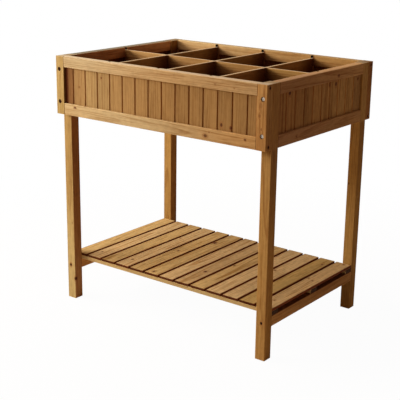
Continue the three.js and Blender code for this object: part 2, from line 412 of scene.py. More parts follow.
@dataclass(frozen=True)
class Pockets:
    """The hollow of the box: painted shade on walls that darken downwards, in the corners and in the
    open housings.
    """

    # Painted shade on the walls: their colour at the rim and at the wall depth below it
    wall_top: Colour = (1.02, 0.92, 0.84)
    wall_low: Colour = (0.44, 0.26, 0.17)
    wall_depth: float = 0.062
    # Painted shade in the corners: its colour, share and reach
    corner: Colour = (0.24, 0.115, 0.075)
    corner_shade_share: float = 0.92
    side_reach: float = 0.105
    corner_reach: float = 0.010
    corner_spread: float = 0.075
    # How far painted shade darkens the open housings
    housing: float = 0.93
    blur: float = 0.0005
    margin: float = 0.0003

    def _outside(self, bench: Bench, value: Value, limit: float) -> Wire:
        """1 where a value is past a limit, give or take a hair."""
        return bench.smooth(value, limit + self.margin, limit + self.margin + self.blur)

    def _inside(self, bench: Bench, value: Value, limit: float) -> Wire:
        """1 where a value is short of a limit, give or take a hair."""
        return bench.smooth(value, limit + self.margin + self.blur, limit + self.margin)

    def shade(self, stick: Stick, colour: Wire) -> Wire:
        """Paints shade on the walls and corners of the pockets and on what lies deep in a housing.

        Args:
            stick: The piece.
            colour: Its colour.

        Returns:
            The new colour.
        """
        bench, axes = stick.bench, stick.axes
        x, y, z = abs(axes[0]), abs(axes[1]), axes[2]
        rim = CAD_BOX[1][2]
        board_x, board_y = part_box("right_boards")[0].x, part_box("back_boards")[0].y
        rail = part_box("back_top_rail")[0]
        rail_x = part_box("right_top_rail")[0].x
        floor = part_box("base_board_1")[1].z
        below_rim = bench.smooth(z, rim - self.margin, rim - self.margin * 3)
        hollow = self._inside(bench, x, board_x) * self._inside(bench, y, board_y) * below_rim
        walls = hollow * bench.smooth(z, floor - self.blur, floor)
        depth = bench.smooth(z, rim - self.margin, rim - self.wall_depth)
        wall = bench.blend(depth, self.wall_top, self.wall_low)
        # Painted shade: walls darker towards the bottom
        colour = bench.glaze(colour, walls, wall)

        low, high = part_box("cross_divider_3")
        pitch = (low.x + high.x) / 2
        thick = (high.x - low.x) / 2
        along = bench.maths("WRAP", axes[0] - thick + self.blur, pitch, 0.0)
        back = bench.maths("WRAP", self.blur - thick - axes[1], rail.y + thick, 0.0)
        nook = along / (depth * self.corner_spread + self.corner_reach) + back / self.side_reach
        # Painted shade in the corners
        dark = bench.smooth(nook, 1.0, 0.1) * walls * self.corner_shade_share
        colour = bench.glaze(colour, dark, self.corner)
        nearest = abs(axes[0] - bench.maths("ROUND", axes[0] / pitch) * pitch)
        long_ends = self._outside(bench, y, rail.y) * self._inside(bench, nearest, thick + self.blur)
        short_ends = self._outside(bench, x, rail_x) * self._inside(bench, y, thick + self.blur)
        beside_rail = bench.smooth(z, rail.z - self.blur, rail.z)
        # Painted shade in the open housings above the divider ends
        housed = bench.maths("MAXIMUM", long_ends, short_ends) * hollow * beside_rail
        return bench.scale(colour, 1.0 - housed * self.housing)

    def paint_top_shading(self, stick: Stick, colour: Wire) -> Wire:
        """Paints the faces that look up to the sky with the colour of the piece's crown: a painted
        highlight where the crown is pale, a painted darker top where it is dark.

        Args:
            stick: The piece.
            colour: Its colour.

        Returns:
            The new colour.
        """
        bench, stock = stick.bench, stick.stock
        divider_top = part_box("long_divider")[1].z
        top = bench.smooth(stick.axes[2], divider_top - self.blur * 4, divider_top - self.blur)
        upward = bench.smooth(stick.normal[2], 0.7, 0.95)
        return bench.blend(top * upward * stock.crown_share, colour, stock.crown)


@dataclass(frozen=True)
class OiledPine:
    """Planed pine with a light oil: growth rings, fibres, knots, dark ends, arrises worn paler with a
    painted highlight, and painted shade in a slat's gaps.
    """

    ring: float = 0.0042
    wander: float = 0.013
    taper: float = 0.012
    heart_near: float = 0.016
    heart_span: float = 0.05
    heart_side: float = 1.6
    bend: Swell = Swell(1.3, 7.0)
    streak: Swell = Swell(3.0, 130.0, 2.0, 0.6)
    thread: Swell = Swell(11.0, 290.0, 1.0, 0.6)
    fibre: Swell = Swell(26.0, 900.0, 2.0, 0.6)
    fleck: Swell = Swell(17.0, 380.0, 1.0)
    cloud: Swell = Swell(2.2, 16.0, 1.0)
    mottle: Swell = Swell(65.0, 105.0)
    roughness: float = 0.72
    gloss: float = 0.05
    relief: float = 0.00025
    relief_strength: float = 0.45
    arris: float = 0.0024
    # Arrises painted paler: wear and a painted highlight
    arris_wear_and_highlight: float = 0.16
    # Painted shade in a slat's gaps: on its sides and on a strip along its long top edges
    side_from: float = 0.0009
    gap_shade_tint: Colour = (0.32, 0.12, 0.055)
    side_end: float = 0.55
    brink_shade: float = 0.85
    brink_reach: float = 0.0034
    seam_reach: float = 0.0032
    seam_deep: float = 0.0008
    seam_tint: Colour = (0.92, 0.64, 0.44)
    knot_stretch: float = 1.35
    knot_bend: float = 0.0035
    knot_heart: Colour = (0.085, 0.026, 0.009)
    knot_halo: Colour = (0.30, 0.105, 0.030)
    halo_share: float = 0.55

    def dress(self, name: str, stock: Stock) -> None:
        """Gives one CAD node its own material.

        Args:
            name: The node.
            stock: How its timber was cut.
        """
        stick = Stick(name, stock)
        bench = stick.bench
        hearts, halos = self._knots(stick)
        late = self._rings(stick, halos)
        grey, fibre, streak = self._figure(stick, late)
        spring, summer = (
            tuple(part * share for part, share in zip(shade, stock.tint))
            for shade in (stock.tone.value.early, stock.tone.value.late)
        )
        colour = bench.scale(bench.blend(grey, spring, summer), self._level(stick))
        colour = stick.drift(colour, stock.drifts)
        if hearts is not None:
            colour = bench.blend(halos * self.halo_share, colour, self.knot_halo)
            colour = bench.blend(hearts, colour, self.knot_heart)
        edge = self._edge(stick)
        colour = self._faces(stick, colour, edge)
        if stock.box_shading:
            # Painted shade in the pockets, then painted top shading at the rim
            colour = POCKETS.paint_top_shading(stick, POCKETS.shade(stick, colour))
        height = late * 0.5 + fibre * 0.6 + streak * 0.3
        if hearts is not None:
            height = height + hearts * 0.5
        sockets = {
            "Base Color": colour,
            "Roughness": self.roughness + late * 0.08 - edge * 0.05 + (fibre - 0.5) * 0.12,
            "Specular IOR Level": self.gloss,
        }
        bench.surface(sockets, height, self.relief_strength, self.relief)
        wear(name, stick.material)

    def _rings(self, stick: Stick, halos: Wire | None) -> Wire:
        """The growth rings that the saw laid open.

        Args:
            stick: The piece.
            halos: Mask of the bent grain round the knots.

        Returns:
            0 in the pale spring wood, up to 1 in the dark summer wood.
        """
        bench, dice = stick.bench, stick.dice
        shift = (stick.luck[0] - 0.5) * stick.half_wide * self.heart_side
        depth = stick.luck[1] * self.heart_span + self.heart_near
        if dice.random() < 0.5:
            depth = depth * -1.0
        bend = stick.swell(self.bend) - 0.5
        side, sunk = stick.local - shift, stick.hollow - depth
        radius = bench.maths("SQRT", side * side + sunk * sunk)
        slope = self.taper * dice.choice((-1.0, 1.0)) * dice.uniform(0.5, 1.4)
        reach = radius + bend * self.wander + stick.run * slope
        if halos is not None:
            reach = reach - halos * self.knot_bend
        phase = reach / (self.ring * dice.uniform(0.8, 1.25))
        year = bench.maths("FLOOR", phase)
        stops = [(0.0, 0.0), (0.45, 0.12), (0.82, 0.85), (0.9, 1.0), (1.0, 0.0)]
        late = bench.node("ShaderNodeValToRGB", {"stops": stops}, {0: bench.maths("FRACT", phase)})
        vigour = bench.split(bench.chance(year + dice.randint(2, 60)))[0]
        return late * (vigour * 0.65 + 0.35)

    def _figure(self, stick: Stick, late: Wire) -> tuple[Wire, Wire, Wire]:
        """Streaks, threads, flecks and fibres along the grain.

        Args:
            stick: The piece.
            late: The growth rings.

        Returns:
            The mix from pale to dark timber, the fibres and the streaks.
        """
        strength = stick.stock.figure
        streak, thread, fibre = (stick.swell(s) for s in (self.streak, self.thread, self.fibre))
        fleck = stick.bench.smooth(stick.swell(self.fleck), 0.60, 0.72)
        grey = late * 0.62 + (streak - 0.5) + (thread - 0.5) * 1.25 + (fibre - 0.5) * 0.35
        return (grey - 0.2) * strength + fleck * 0.35 * strength + 0.24, fibre, streak

    def _level(self, stick: Stick) -> Wire:
        """How light the timber is from place to place and from board to board.

        Args:
            stick: The piece.

        Returns:
            A factor for its colour.
        """
        cloud, mottle = stick.swell(self.cloud), stick.swell(self.mottle)
        level = (cloud - 0.5) * 0.42 + (mottle - 0.5) * 0.30 * stick.stock.figure + 1.0
        if stick.stock.pitch:
            level = level + (stick.luck[2] - 0.5) * 0.2
        return level

    def _knots(self, stick: Stick) -> tuple[Wire | None, Wire | None]:
        """Masks of the knots and of the stained, bent grain round them.

        Args:
            stick: The piece. A knot runs through its thin way unless it says otherwise.

        Returns:
            The hearts' mask and the halos' mask, or None twice where the piece is clear.
        """
        bench, axes, grain = stick.bench, stick.axes, stick.stock.grain.value
        hearts: Wire | None = None
        halos: Wire | None = None
        for knot in stick.stock.knots:
            through = knot.through.value if knot.through else stick.thin
            total: Value = 0.0
            for a in range(3):
                if a == through:
                    continue
                stretch = self.knot_stretch if a == grain else 1.0
                step = (axes[a] - knot.at[a]) / (knot.radius * stretch)
                total = step * step + total
            near = bench.maths("SQRT", total)
            depth = abs(axes[through] - knot.at[through])
            within = bench.smooth(depth, knot.reach, knot.reach * 0.7)
            heart = bench.smooth(near, 1.05, 0.7) * within * knot.dark
            halo = bench.smooth(near, 2.3, 0.8) * within * knot.dark
            hearts = heart if hearts is None else bench.maths("MAXIMUM", hearts, heart)
            halos = halo if halos is None else bench.maths("MAXIMUM", halos, halo)
        return hearts, halos

    def _edge(self, stick: Stick) -> Wire:
        """Mask of the piece's arrises.

        Args:
            stick: The piece.

        Returns:
            1 on an arris, 0 away from it.
        """
        bench, axes, low, high = stick.bench, stick.axes, stick.low, stick.high
        gaps = [bench.maths("MINIMUM", axes[a] - low[a], high[a] - axes[a]) for a in range(3)]
        small = bench.maths("MINIMUM", gaps[0], gaps[1])
        large = bench.maths("MAXIMUM", gaps[0], gaps[1])
        second = bench.maths("MAXIMUM", small, bench.maths("MINIMUM", large, gaps[2]))
        return bench.smooth(second, self.arris, self.arris * 0.3)

    def _faces(self, stick: Stick, colour: Wire, edge: Wire) -> Wire:
        """Darkens the joints between boards and the ends, paints light and shade on the side faces, and
        paints shade on a slat's sides.

        Args:
            stick: The piece.
            colour: Its colour.
            edge: Mask of its arrises, which are painted a little paler: wear and a painted highlight.

        Returns:
            The new colour.
        """
        bench, stock = stick.bench, stick.stock
        if stock.pitch:
            seam = bench.smooth(stick.brink, self.seam_reach, self.seam_deep)
            colour = bench.glaze(colour, seam, self.seam_tint)
        # Painted light and shade on the faces that look along X
        if stock.side_shading:
            flank = stick.drift(colour, stock.side_shading)
            colour = bench.blend(stick.facing(Axis.X), colour, flank)
        ends = stick.facing(stock.grain)
        # Painted shade on a slat's sides and along its long top edges; its ends are darker still, as end
        # grain
        if stock.painted_gap_shade:
            sunk = stick.high.z - stick.axes[2]
            under = bench.smooth(sunk, self.side_from * 0.2, self.side_from)
            sides = under * bench.smooth(stick.normal[2], -0.9, -0.5)
            brink = bench.smooth(stick.brink, self.brink_reach, self.seam_deep) * self.brink_shade
            colour = bench.glaze(colour, bench.maths("MAXIMUM", sides, brink), self.gap_shade_tint)
            return bench.scale(colour, 1.0 - ends * under * self.side_end)
        return bench.scale(colour, (1.0 - ends * stock.end_dark) * (edge * self.arris_wear_and_highlight + 1.0))


@dataclass(frozen=True)
class BoltSteel:
    """The steel of a fastening, plated or blackened, with fine marks and dull spots."""

    name: str
    colour: Colour
    spot: Colour
    roughness: float
    metallic: float = 1.0
    gloss: float = 0.5
    spots: float = 420.0
    marks: tuple[float, float] = (2600.0, 300.0)
    relief: float = 0.0001
    relief_strength: float = 0.25

    def material(self) -> bpy.types.Material:
        """Builds the material.

        Returns:
            The new material.
        """
        material = bpy.data.materials.new(self.name)
        bench = Bench(material)
        x, y, z = bench.place()
        spots = bench.noise(bench.join(*(part * self.spots for part in (x, y, z))), 3.0, 0.6)
        fine, coarse = self.marks
        marks = bench.noise(bench.join(x * fine, y * coarse, z * fine))
        dull = bench.smooth(spots, 0.5, 0.7)
        sockets = {
            "Base Color": bench.blend(dull, self.colour, self.spot),
            "Metallic": self.metallic,
            "Roughness": self.roughness + dull * 0.25 + marks * 0.1,
            "Specular IOR Level": self.gloss,
        }
        bench.surface(sockets, marks, self.relief_strength, self.relief)
        return material


def wear(name: str, material: bpy.types.Material) -> None:
    """Puts a material on a CAD node, in the place of its plain one.

    Args:
        name: The node.
        material: The material.
    """
    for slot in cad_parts[name].material_slots:
        slot.material = material
    LOG.info("%s wears %s", name, material.name)


POCKETS = Pockets()
PINE = OiledPine()
ZINC = BoltSteel("zinc_plate", (0.44, 0.37, 0.30), (0.25, 0.19, 0.14), 0.42)
# The zinc painted dark and dull, for the front-left bolts: painted shade
SHADED_ZINC = BoltSteel("painted_shade_zinc", (0.050, 0.013, 0.006), (0.022, 0.007, 0.004), 0.8, 0.0, 0.08)
BLACKENED = BoltSteel("blackened_steel", (0.022, 0.009, 0.006), (0.01, 0.005, 0.004), 0.8, 0.0, 0.05)


# Sub-assemblies


def middle(node: str) -> Vector:
    """The middle of a CAD node's box."""
    low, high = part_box(node)
    return (low + high) / 2


@dataclass(frozen=True)
class Corner:
    """One corner of the box, with the places of its fastenings."""

    end: str
    side: str
    x_way: float
    y_way: float
    face_inset: float = 0.013
    end_inset: float = 0.010
    # Radius and darkness of the painted shade ring round each screw's hole, and how deep it reaches
    ring_shade: tuple[float, float] = (0.0044, 0.85)
    ring_shade_reach: float = 0.004

    def node(self, kind: str, level: str = "") -> str:
        """The name of this corner's piece of a kind."""
        return "_".join(word for word in (kind, self.end, self.side, level) if word)

    def stile_screws(self) -> dict[str, Vector]:
        """Where the two screws enter the outer edge of the stile.

        Returns:
            The point of each, by its level.
        """
        low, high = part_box(f"{self.end}_stile_{self.side}")
        x = high.x if self.x_way > 0 else low.x
        y = (high.y if self.y_way > 0 else low.y) - self.y_way * self.face_inset
        heights = {"upper": high.z - self.end_inset, "lower": low.z + self.end_inset}
        return {level: Vector((x, y, z)) for level, z in heights.items()}

    def leg_screw(self) -> Vector:
        """Where the shelf rail's screw enters the leg, in line with the corner's bolts.

        Returns:
            The point on the leg's outer face.
        """
        low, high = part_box(self.node("leg"))
        y = high.y if self.y_way > 0 else low.y
        return Vector((middle(self.node("bolt", "upper")).x, y, middle("shelf_rail_left").z))

    def shaded_ring(self, at: Vector, through: Axis) -> Knot:
        """A painted shade ring round a screw's hole."""
        return Knot(tuple(at), *self.ring_shade, through, self.ring_shade_reach)


CORNERS = tuple(
    Corner(end, side, x_way, y_way)
    for end, y_way in (("front", -1.0), ("back", 1.0))
    for side, x_way in (("left", -1.0), ("right", 1.0))
)


@dataclass
class Legs:
    """The four full-height legs."""

    leg: Stock = Stock(Axis.Z, Tone.TAN, figure=1.2, crown_share=0.2, box_shading=True)
    # The drifts on each leg's side faces are painted shade, darker and redder; on the right legs those
    # faces are painted lighter from the box's underside up
    front_left: Stock = replace(
        leg,
        tint=(0.97, 1.03, 1.12),
        drifts=(Drift(Axis.Z, 0.05, 0.50, (1.14, 1.34, 1.65), (0.97, 0.97, 0.97)),),
        side_shading=(Drift(Axis.Z, 0.15, 0.66, (0.78, 0.53, 0.46), (0.78, 0.54, 0.50)),),
        knots=(
            Knot((-0.3625, -0.2650, 0.070), 0.0042, 0.95, Axis.Y, 0.009),
            Knot((-0.3690, -0.2662, 0.263), 0.0028, 0.35, Axis.Y, 0.006),
        ),
    )
    front_right: Stock = replace(
        leg,
        tint=(0.95, 0.89, 0.85),
        side_shading=(
            Drift(Axis.Z, 0.25, 0.60, (1.0, 0.91, 0.74), (0.84, 0.76, 0.70)),
            Drift(Axis.Z, 0.620, 0.632, CLEAR, (1.19, 1.22, 1.33)),
        ),
    )
    back_left: Stock = replace(
        leg,
        tint=(0.80, 0.76, 0.68),
        side_shading=(Drift(Axis.Z, 0.15, 0.66, (1.01, 0.86, 0.72), (1.06, 1.00, 1.02)),),
        knots=(Knot((-0.395, 0.25, 0.34), 0.004, 0.7, Axis.X, 0.01),),
    )
    back_right: Stock = replace(
        leg,
        tint=(1.00, 0.95, 0.85),
        side_shading=(
            Drift(Axis.Z, 0.30, 0.58, (0.97, 0.92, 0.76), (0.82, 0.72, 0.60)),
            Drift(Axis.Z, 0.620, 0.632, CLEAR, (1.45, 1.70, 2.30)),
        ),
        knots=(Knot((0.368, 0.2332, 0.424), 0.003, 0.6, Axis.Y, 0.006),),
    )

    def dress(self) -> None:
        """Dresses the legs, each with a painted shade ring round its screw."""
        stocks = (self.front_left, self.front_right, self.back_left, self.back_right)
        for corner, stock in zip(CORNERS, stocks):
            ring_shade = corner.shaded_ring(corner.leg_screw(), Axis.Y)
            PINE.dress(corner.node("leg"), replace(stock, knots=(ring_shade, *stock.knots)))


# The axis that each panel faces along, and the end of the CAD's box that its face lies at
FACES = {"front": (Axis.Y, 0), "back": (Axis.Y, 1), "left": (Axis.X, 0), "right": (Axis.X, 1)}


class Panels:
    """What facing panels share: a way to dress a piece from tables of drifts and knots."""

    drifts: dict[str, tuple[Drift, ...]]
    knots: dict[str, Marks]

    def dress_piece(self, name: str, stock: Stock) -> None:
        """Dresses one piece with the drifts and knots that the tables give it.

        Args:
            name: The CAD node, whose first word is its side.
            stock: How its timber was cut otherwise.
        """
        side, part = name.split("_", 1)
        axis, end = FACES[side]
        face = CAD_BOX[end][axis.value]
        knots = tuple(
            Knot((face, at, z) if axis is Axis.X else (at, face, z), radius, dark)
            for at, z, radius, dark in self.knots.get(name, ())
        )
        drifts = self.drifts.get(name) or self.drifts[part]
        PINE.dress(name, replace(stock, drifts=drifts, knots=knots + stock.knots))


@dataclass
class LongPanels(Panels):
    """Front and back panels: rails, stiles and tongue-and-groove boards."""

    rail: Stock = Stock(Axis.X, Tone.HONEY, figure=1.3, box_shading=True)
    boards: Stock = Stock(Axis.Z, Tone.AMBER, pitch=0.0504, start=-0.378, box_shading=True)
    stile_tones: tuple[Tone, Tone] = (Tone.WHEAT, Tone.RUSSET)
    # How strongly each panel's rim top is painted with its crown's highlight
    top_shading_shares: tuple[float, float] = (0.52, 0.15)
    drifts: dict[str, tuple[Drift, ...]] = field(
        default_factory=lambda: {
            # Drifts along X on the rails and boards: lighter and bluer at the left, darker and redder at
            # the right, a painted light falloff
            "front_top_rail": (Drift(Axis.X, -0.35, 0.10, (0.95, 1.07, 1.28), (0.82, 0.77, 0.74)),),
            "back_top_rail": (Drift(Axis.X, -0.30, 0.30, (1.02, 1.12, 1.20), (0.74, 0.68, 0.52)),),
            "bottom_rail": (Drift(Axis.X, -0.10, 0.38, (0.94, 1.02, 1.13), (0.79, 0.66, 0.52)),),
            "front_stile_left": (
                Drift(Axis.Z, 0.66, 0.78, (0.92, 0.97, 1.03), (0.94, 1.0, 1.12)),
                # Painted shade on the stile's inner edge beside the recessed boards
                Drift(Axis.X, -0.3648, -0.3622, CLEAR, (0.40, 0.28, 0.22)),
            ),
            "front_stile_right": (
                Drift(Axis.Z, 0.66, 0.78, (0.88, 0.88, 0.87), (1.0, 1.08, 1.16)),
                # Painted shade on the stile's inner edge beside the recessed boards
                Drift(Axis.X, 0.3622, 0.3648, (0.66, 0.54, 0.46)),
            ),
            "back_stile_left": (Drift(Axis.Z, 0.66, 0.78, (0.92, 0.92, 0.92), (0.94, 0.94, 0.94)),),
            "back_stile_right": (
                Drift(Axis.Z, 0.66, 0.78, (0.80, 0.72, 0.64), (0.70, 0.62, 0.54)),
            ),
            "back_boards": (Drift(Axis.X, -0.35, 0.10, (1.00, 1.03, 1.12), (0.86, 0.80, 0.76)),),
            "front_boards": (
                Drift(Axis.X, -0.35, 0.10, (1.00, 1.03, 1.12), (0.86, 0.80, 0.76)),
                # The first board is darker in its tone, with a painted shadow of the stile towards its
                # left edge
                Drift(Axis.X, -0.3281, -0.3271, (0.62, 0.50, 0.44)),
                Drift(Axis.X, -0.3560, -0.3430, (0.40, 0.20, 0.15)),
                Drift(Axis.X, -0.2775, -0.2769, (0.94, 0.92, 0.92), (1.06, 1.13, 1.20)),
                Drift(Axis.X, -0.1767, -0.1761, CLEAR, (0.93, 0.88, 0.84)),
            ),
        }
    )
    knots: dict[str, Marks] = field(
        default_factory=lambda: {
            "front_top_rail": ((0.222, 0.792, 0.003, 0.3), (0.287, 0.788, 0.0022, 0.35)),
            "front_bottom_rail": (
                *((-0.316, 0.656, 0.0035, 0.85), (0.191, 0.643, 0.005, 0.8)),
                *((0.327, 0.652, 0.0035, 0.75), (0.204, 0.655, 0.0025, 0.5)),
            ),
            "front_stile_right": (
                *((0.379, 0.688, 0.003, 0.45), (0.376, 0.752, 0.006, 0.25)),
                (0.373, 0.724, 0.004, 0.35),
            ),
            "front_boards": (
                *((-0.210, 0.760, 0.003, 0.8), (-0.303, 0.721, 0.003, 0.45)),
                *((0.241, 0.680, 0.0045, 0.9), (0.273, 0.676, 0.004, 0.8)),
            ),
            "back_top_rail": ((0.086, 0.802, 0.004, 0.5), (-0.21, 0.79, 0.0045, 0.7)),
            "back_bottom_rail": ((0.12, 0.65, 0.005, 0.8), (-0.26, 0.643, 0.004, 0.8)),
        }
    )

    def dress(self) -> None:
        """Dresses both panels."""
        for end, crown_share in zip(("front", "back"), self.top_shading_shares):
            rail = replace(self.rail, crown_share=crown_share)
            self.dress_piece(f"{end}_top_rail", rail)
            self.dress_piece(f"{end}_bottom_rail", rail)
            self.dress_piece(f"{end}_boards", self.boards)
            corners = (corner for corner in CORNERS if corner.end == end)
            for corner, tone in zip(corners, self.stile_tones):
                # A painted shade ring round each screw in the stile's edge
                rings = (corner.shaded_ring(at, Axis.X) for at in corner.stile_screws().values())
                stile = replace(rail, grain=Axis.Z, tone=tone, knots=tuple(rings))
                self.dress_piece(f"{end}_stile_{corner.side}", stile)


@dataclass
class EndPanels(Panels):
    """Left and right panels: rails and boards held between the legs."""

    rail: Stock = Stock(Axis.Y, Tone.COPPER, figure=1.3, crown_share=0.10, box_shading=True)
    # The left rail's dark crown paints its top darker
    left_rail: Stock = replace(
        rail, tint=(1.25, 1.25, 1.38), crown=(0.20, 0.17, 0.11), crown_share=0.92
    )
    boards: Stock = Stock(Axis.Z, Tone.TAN, figure=1.9, pitch=0.0472, box_shading=True)
    drifts: dict[str, tuple[Drift, ...]] = field(
        default_factory=lambda: {
            "top_rail": (Drift(Axis.Y, -0.23, 0.23, (0.80, 0.74, 0.77), (1.14, 1.16, 1.20)),),
            "bottom_rail": (Drift(Axis.Y, -0.23, 0.23, (0.88, 0.84, 0.96), (0.99, 0.97, 0.95)),),
            "boards": (
                Drift(Axis.Y, -0.23, 0.23, (0.82, 0.69, 0.71), (1.22, 1.18, 1.24)),
                Drift(Axis.Y, 0.190, 0.192, CLEAR, (0.72, 0.70, 0.74)),
            ),
        }
    )
    knots: dict[str, Marks] = field(
        default_factory=lambda: {
            "right_top_rail": ((0.083, 0.791, 0.004, 0.8),),
            "right_bottom_rail": ((-0.14, 0.645, 0.0035, 0.6),),
            "right_boards": (
                *((-0.172, 0.773, 0.006, 1.0), (0.044, 0.767, 0.0045, 0.7)),
                *((0.081, 0.765, 0.005, 0.9), (0.215, 0.764, 0.004, 0.8)),
            ),
            "left_top_rail": ((-0.07, 0.795, 0.004, 0.6),),
        }
    )

    def dress(self) -> None:
        """Dresses both panels."""
        for side, rail in (("left", self.left_rail), ("right", self.rail)):
            self.dress_piece(f"{side}_top_rail", rail)
            self.dress_piece(f"{side}_bottom_rail", rail)
            self.dress_piece(f"{side}_boards", self.boards)


@dataclass
class Dividers:
    """The halved dividers and the base that they stand on."""

    cross: Stock = Stock(Axis.Y, Tone.WHEAT, crown_share=0.5, box_shading=True)
    long: Stock = replace(
        cross,
        grain=Axis.X,
        drifts=(
            # Painted light falloff: lighter and bluer at the left, darker and redder at the right
            Drift(Axis.X, -0.30, 0.18, (0.94, 0.95, 1.12), (0.86, 0.82, 0.84)),
            Drift(Axis.X, 0.185, 0.200, CLEAR, (0.96, 0.98, 0.92)),
        ),
    )
    ledger: Stock = Stock(Axis.X, Tone.WHEAT)
    base: Stock = Stock(Axis.Y, Tone.TAN, box_shading=True)
    cross_count: int = 3
    base_count: int = 7

    def dress(self) -> None:
        """Dresses the dividers, ledgers and base boards."""
        PINE.dress("long_divider", self.long)
        for number in range(1, self.cross_count + 1):
            PINE.dress(f"cross_divider_{number}", self.cross)
        for side in ("front", "back"):
            PINE.dress(f"ledger_{side}", self.ledger)
        for number in range(1, self.base_count + 1):
            PINE.dress(f"base_board_{number}", self.base)


@dataclass
class Shelf:
    """The slatted shelf on its battens and side rails."""

    slat: Stock = Stock(Axis.Y, Tone.STRAW, figure=1.9, painted_gap_shade=True)
    batten: Stock = Stock(
        Axis.X,
        Tone.CREAM,
        (0.80, 0.82, 0.76),
        # Painted shade on the batten's ends, where the legs' shadow falls, over their darker end grain
        side_shading=(Drift(Axis.Z, 0.13, 0.14, (0.70, 0.40, 0.25), (0.70, 0.40, 0.25)),),
        end_dark=0.85,
    )
    rail: Stock = Stock(
        Axis.Y,
        Tone.TAN,
        (1.28, 1.14, 1.20),
        # The rail's top face is painted dark: painted shade under the slats
        drifts=(Drift(Axis.Z, 0.1290, 0.1318, CLEAR, (0.20, 0.11, 0.07)),),
    )
    tones: tuple[Tone, ...] = (
        *(Tone.STRAW, Tone.CREAM, Tone.STRAW, Tone.CREAM, Tone.STRAW, Tone.STRAW, Tone.CREAM),
        *(Tone.HONEY, Tone.STRAW, Tone.CREAM, Tone.CREAM, Tone.WHEAT, Tone.HONEY),
    )
    knots: Marks = (
        *((-0.080, 0.128, 0.0065, 1.0), (-0.065, -0.215, 0.0045, 0.9), (-0.029, 0.0, 0.0045, 0.8)),
        *((0.063, -0.114, 0.0055, 0.95), (-0.190, -0.174, 0.0045, 0.8)),
        *((-0.127, -0.015, 0.0045, 0.8), (-0.317, -0.182, 0.0035, 0.6)),
        *((-0.202, 0.091, 0.0035, 0.6), (0.103, -0.012, 0.004, 0.75), (0.347, 0.045, 0.0035, 0.75)),
        *((0.368, 0.034, 0.0035, 0.75), (0.317, 0.179, 0.004, 0.75), (0.372, 0.222, 0.0035, 0.75)),
        *((0.363, -0.172, 0.0035, 0.75), (0.228, 0.036, 0.004, 0.75)),
    )

    def dress(self) -> None:
        """Dresses the slats, battens and rails."""
        for number, tone in enumerate(self.tones, 1):
            name = f"shelf_slat_{number}"
            low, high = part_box(name)
            knots = tuple(
                Knot((x, y, high.z), radius, dark)
                for x, y, radius, dark in self.knots
                if low.x < x < high.x
            )
            PINE.dress(name, replace(self.slat, tone=tone, knots=knots))
        for place in ("front", "middle", "back"):
            PINE.dress(f"shelf_batten_{place}", self.batten)
        for side in ("left", "right"):
            PINE.dress(f"shelf_rail_{side}", self.rail)


def circle(radius: float, count: int) -> Outline:
    """Points evenly round a circle."""
    turns = (FULL_TURN * step / count for step in range(count))
    return tuple((radius * math.cos(turn), radius * math.sin(turn)) for turn in turns)


@dataclass(frozen=True)
class TurnedHead:
    """The head of a fastening: a turned profile with a driving socket cut in its top."""

    profile: Outline
    socket: Outline
    socket_deep: float
    socket_taper: float
    steps: int = 32

    def mesh(self, name: str) -> bpy.types.Mesh:
        """Builds the head with its axis on +Z.

        Args:
            name: The mesh's name.

        Returns:
            One closed mesh.
        """
        shape = bmesh.new()
        turned = circle(1.0, self.steps)
        rings = [self._points(shape, turned, radius, height) for radius, height in self.profile]
        top = self.profile[0][1]
        mouth = self._points(shape, self.socket, 1.0, top)
        edges = self._loop(shape, rings[0]) + self._loop(shape, mouth)
        bmesh.ops.triangle_fill(shape, use_beauty=True, edges=edges)
        floor = self._points(shape, self.socket, self.socket_taper, top - self.socket_deep)
        for upper, lower in (*zip(rings, rings[1:]), (mouth, floor)):
            self._bridge(shape, upper, lower)
        shape.faces.new(rings[-1])
        shape.faces.new(floor)
        bmesh.ops.recalc_face_normals(shape, faces=shape.faces)
        mesh = bpy.data.meshes.new(name)
        shape.to_mesh(mesh)
        shape.free()
        return mesh

    def _points(
        self, shape: bmesh.types.BMesh, outline: Outline, share: float, height: float
    ) -> list[Any]:
        """Adds an outline's points at a height, drawn in or out by a share."""
        return [shape.verts.new((x * share, y * share, height)) for x, y in outline]

    def _loop(self, shape: bmesh.types.BMesh, points: list[Any]) -> list[Any]:
        """Joins points into a closed loop of edges."""
        return [shape.edges.new(pair) for pair in zip(points, points[1:] + points[:1])]

    def _bridge(self, shape: bmesh.types.BMesh, upper: list[Any], lower: list[Any]) -> None:
        """Walls two loops of as many points."""
        for corners in zip(upper, upper[1:] + upper[:1], lower[1:] + lower[:1], lower):
            shape.faces.new(corners)


def place_head(
    name: str,
    mesh: bpy.types.Mesh,
    material: bpy.types.Material,
    at: Vector,
    outward: Vector,
) -> None:
    """Puts one head on its seat and lets it ride on the planter.

    Args:
        name: The piece's name.
        mesh: Its mesh, with the axis on +Z.
        material: Its finish.
        at: The seat's middle.
        outward: The direction in which the head looks.
    """
    own = mesh.copy()
    own.name = name
    own.transform(Matrix.Translation(at) @ outward.to_track_quat("Z", "Y").to_matrix().to_4x4())
    own.materials.append(material)
    piece = bpy.data.objects.new(name, own)
    bpy.context.scene.collection.objects.link(piece)
    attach(piece, "root")
    LOG.info("%s wears %s", name, material.name)


